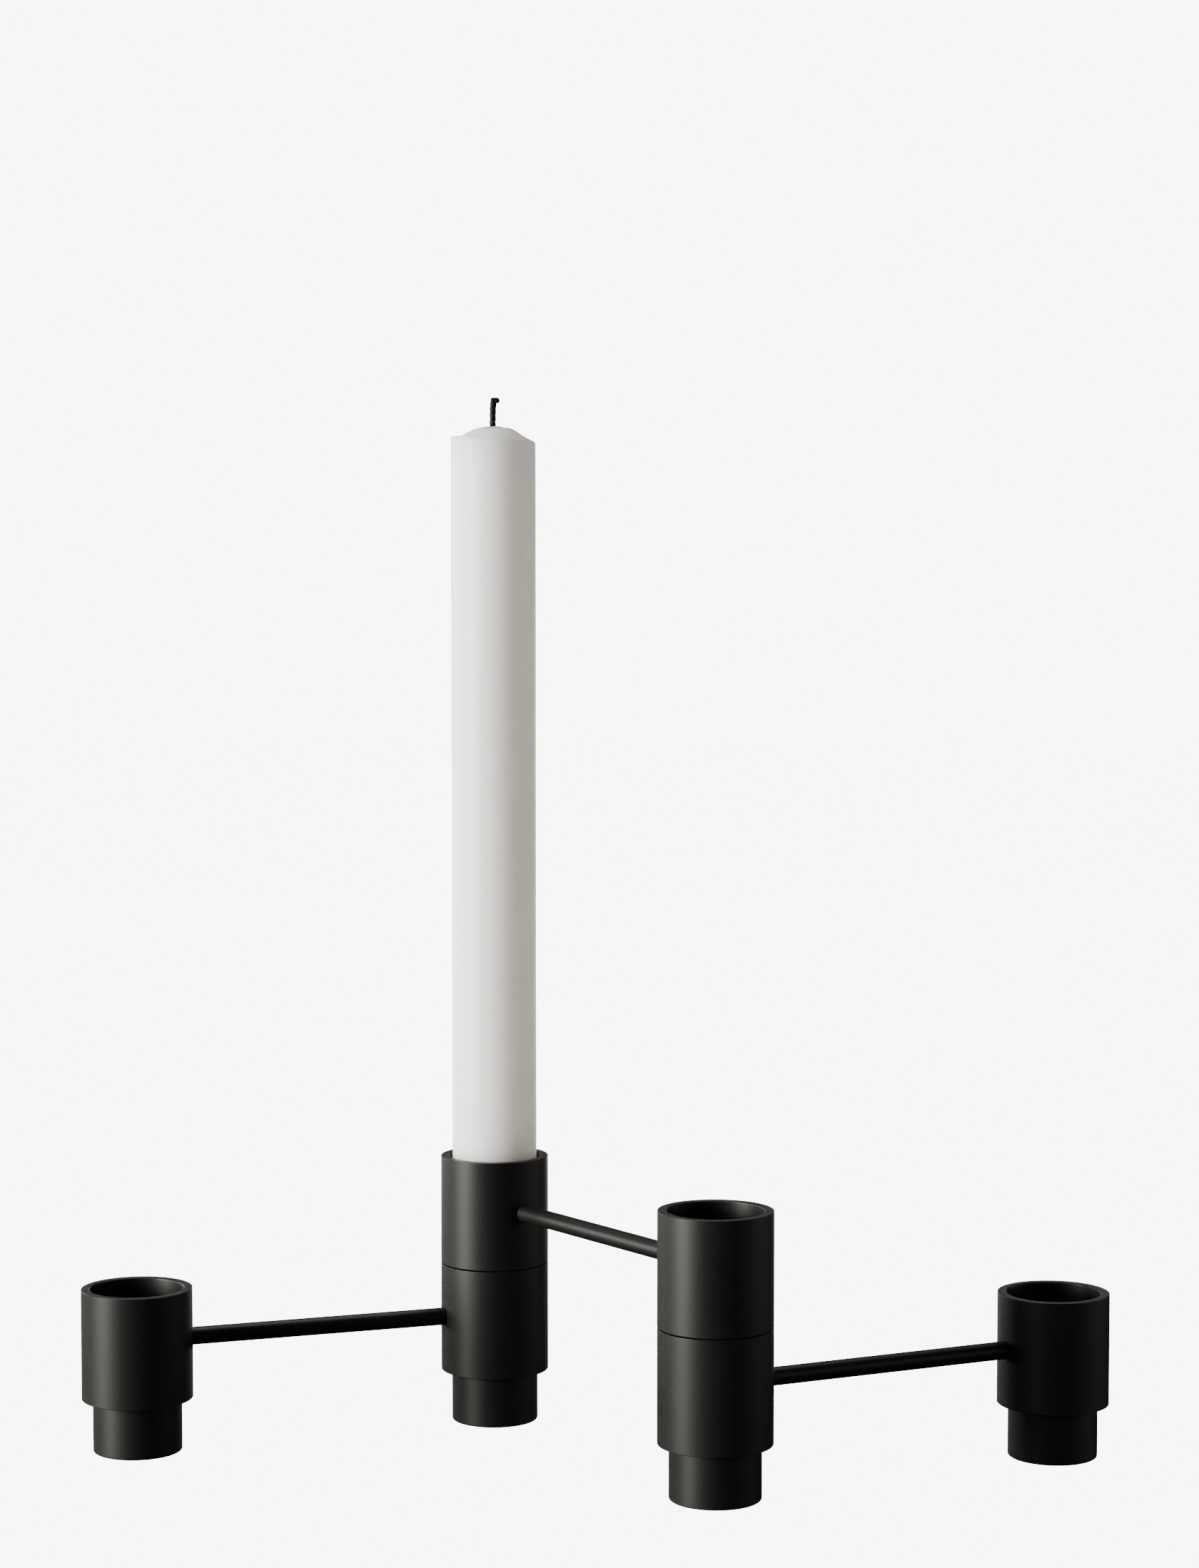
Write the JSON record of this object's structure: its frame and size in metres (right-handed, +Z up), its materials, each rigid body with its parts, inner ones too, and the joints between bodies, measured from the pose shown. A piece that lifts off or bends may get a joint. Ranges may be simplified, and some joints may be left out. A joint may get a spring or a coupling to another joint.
{
  "type": "tabletop candelabra",
  "caption": "Low modular candelabra: turned cups in pairs joined by round arms, stacked in a zigzag by plug feet that swivel, with a dinner candle in one socket.",
  "frame": {"origin": "on the table, below the middle of the bounding box", "axes": "+Z up, +X from the left end cup towards the right end cup as the object is seen from the front, +Y away from the viewer"},
  "size_m": [0.2586, 0.1054, 0.2671],
  "materials": {
    "black_coat": "fine matte powder coat, warm black, slightly worn at the rims",
    "screw_steel": "black-oxide socket screw",
    "felt": "pressed charcoal felt",
    "wax": "smooth off-white candle wax, melted at the top",
    "wick": "braided cotton wick, charred"
  },
  "bodies": {
    "lower_left": {"lower_left_cup_1": "black_coat", "lower_left_foot_1": "black_coat", "lower_left_felt_pad_1": "felt", "lower_left_foot_screw_1": "screw_steel", "lower_left_arm_screw_1": "screw_steel", "lower_left_cup_2": "black_coat", "lower_left_foot_2": "black_coat", "lower_left_felt_pad_2": "felt", "lower_left_foot_screw_2": "screw_steel", "lower_left_arm_screw_2": "screw_steel", "lower_left_arm": "black_coat"},
    "bridge": {"bridge_cup_1": "black_coat", "bridge_foot_1": "black_coat", "bridge_felt_pad_1": "felt", "bridge_foot_screw_1": "screw_steel", "bridge_arm_screw_1": "screw_steel", "bridge_cup_2": "black_coat", "bridge_foot_2": "black_coat", "bridge_felt_pad_2": "felt", "bridge_foot_screw_2": "screw_steel", "bridge_arm_screw_2": "screw_steel", "bridge_arm": "black_coat"},
    "lower_right": {"lower_right_cup_1": "black_coat", "lower_right_foot_1": "black_coat", "lower_right_felt_pad_1": "felt", "lower_right_foot_screw_1": "screw_steel", "lower_right_arm_screw_1": "screw_steel", "lower_right_cup_2": "black_coat", "lower_right_foot_2": "black_coat", "lower_right_felt_pad_2": "felt", "lower_right_foot_screw_2": "screw_steel", "lower_right_arm_screw_2": "screw_steel", "lower_right_arm": "black_coat"},
    "candle": {"candle_wax": "wax", "candle_wick": "wick"}
  },
  "joints": [
    {"name": "bridge_swivel", "type": "hinge", "parent": "lower_left", "child": "bridge", "pos_m": [-0.026, 0.03867, 0.0418], "axis": [0, 0, 1], "range_deg": [-85, 130]},
    {"name": "right_swivel", "type": "hinge", "parent": "bridge", "child": "lower_right", "pos_m": [0.02916, -0.03867, 0.0418], "axis": [0, 0, 1], "range_deg": [-135, 80]},
    {"name": "candle_lift", "type": "slide", "parent": "bridge", "child": "candle", "axis": [0, 0, 1], "range_m": [0, 0.03]}
  ]
}
